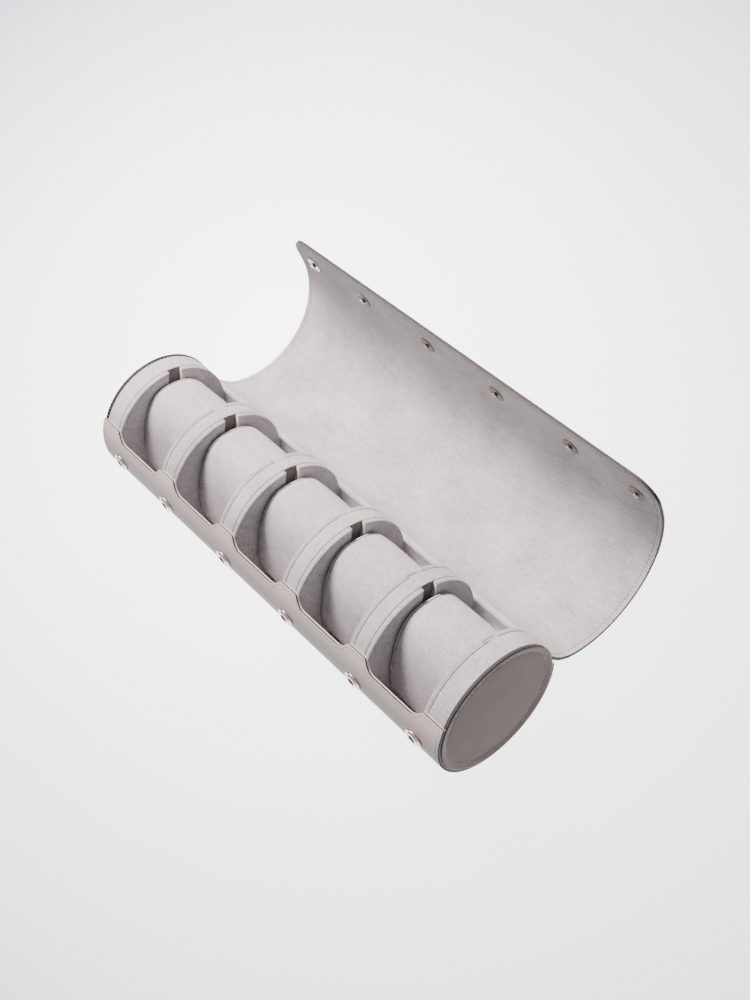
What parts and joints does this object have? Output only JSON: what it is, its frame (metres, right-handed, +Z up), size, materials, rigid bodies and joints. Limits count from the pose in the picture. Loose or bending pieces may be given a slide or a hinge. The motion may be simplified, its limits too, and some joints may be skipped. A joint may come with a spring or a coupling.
{
  "type": "watch roll",
  "caption": "Open watch roll: oval cushions held in slots between round padded ribs, in a leather shell whose wide flap folds over and snaps to the front lip.",
  "frame": {"origin": "middle of the open roll's bounding box, at the table it lies on", "axes": "+X along the roll to its right end, +Y from the front lip to the open flap, +Z up"},
  "size_m": [0.3308, 0.1917, 0.0872],
  "materials": {
    "leather": "smooth calf leather, satin",
    "end_leather": "smooth calf leather, satin, darker",
    "suede": "suede, fine nap",
    "cushion_suede": "suede, fine nap",
    "board": "pressed fibre board",
    "foam": "firm foam",
    "nickel": "nickel plated, slightly warm"
  },
  "bodies": {
    "body": {"shell_leather": "leather", "shell_board": "board", "shell_lining": "suede", "left_end_disc": "end_leather", "right_end_disc": "end_leather", "left_end_core": "board", "right_end_core": "board", "left_end_band": "suede", "right_end_band": "suede", "left_end_plate": "suede", "right_end_plate": "suede", "divider_core_1": "board", "divider_core_2": "board", "divider_core_3": "board", "divider_core_4": "board", "divider_band_1": "suede", "divider_band_2": "suede", "divider_band_3": "suede", "divider_band_4": "suede", "divider_plates_1": "suede", "divider_plates_2": "suede", "divider_plates_3": "suede", "divider_plates_4": "suede", "snap_sockets": "nickel", "socket_springs": "nickel", "socket_posts": "nickel"},
    "cushion_1": {"cushion_cover_1": "cushion_suede", "cushion_core_1": "foam", "cushion_keys_1": "cushion_suede"},
    "cushion_2": {"cushion_cover_2": "cushion_suede", "cushion_core_2": "foam", "cushion_keys_2": "cushion_suede"},
    "cushion_3": {"cushion_cover_3": "cushion_suede", "cushion_core_3": "foam", "cushion_keys_3": "cushion_suede"},
    "cushion_4": {"cushion_cover_4": "cushion_suede", "cushion_core_4": "foam", "cushion_keys_4": "cushion_suede"},
    "cushion_5": {"cushion_cover_5": "cushion_suede", "cushion_core_5": "foam", "cushion_keys_5": "cushion_suede"},
    "flap_root": {"flap_leather_root": "leather", "flap_suede_root": "suede"},
    "flap_belly": {"flap_leather_belly": "leather", "flap_suede_belly": "suede"},
    "flap_shoulder": {"flap_leather_shoulder": "leather", "flap_suede_shoulder": "suede"},
    "flap_edge": {"flap_leather_edge": "leather", "flap_suede_edge": "suede", "snap_studs": "nickel", "snap_caps": "nickel"}
  },
  "joints": [
    {"name": "flap_fold", "type": "hinge", "parent": "body", "child": "flap_root", "pos_m": [0, -0.00592, 0.03025], "axis": [1, 0, 0], "range_deg": [0, 139.95]},
    {"name": "flap_belly_bend", "type": "hinge", "parent": "flap_root", "child": "flap_belly", "pos_m": [0, 0.02402, 0.00435], "axis": [1, 0, 0], "range_deg": [0, 3.95]},
    {"name": "flap_shoulder_bend", "type": "hinge", "parent": "flap_belly", "child": "flap_shoulder", "pos_m": [0, 0.06447, 0.00837], "axis": [1, 0, 0], "range_deg": [0, 2.8]},
    {"name": "snap_press", "type": "hinge", "parent": "flap_shoulder", "child": "flap_edge", "pos_m": [0, 0.09056, 0.04163], "axis": [1, 0, 0], "range_deg": [0, 16.43], "stiffness_Nm_per_rad": 0.3},
    {"name": "cushion_1_lift", "type": "slide", "parent": "body", "child": "cushion_1", "axis": [0, -0.5344, -0.8453], "range_m": [-0.058, 0]},
    {"name": "cushion_2_lift", "type": "slide", "parent": "body", "child": "cushion_2", "axis": [0, -0.5344, -0.8453], "range_m": [-0.058, 0]},
    {"name": "cushion_3_lift", "type": "slide", "parent": "body", "child": "cushion_3", "axis": [0, -0.5344, -0.8453], "range_m": [-0.058, 0]},
    {"name": "cushion_4_lift", "type": "slide", "parent": "body", "child": "cushion_4", "axis": [0, -0.5344, -0.8453], "range_m": [-0.058, 0]},
    {"name": "cushion_5_lift", "type": "slide", "parent": "body", "child": "cushion_5", "axis": [0, -0.5344, -0.8453], "range_m": [-0.058, 0]}
  ],
  "couplings": [
    {"joint": "flap_belly_bend", "follows": "flap_fold", "ratio": 0.02794},
    {"joint": "flap_shoulder_bend", "follows": "flap_fold", "ratio": 0.01972}
  ]
}
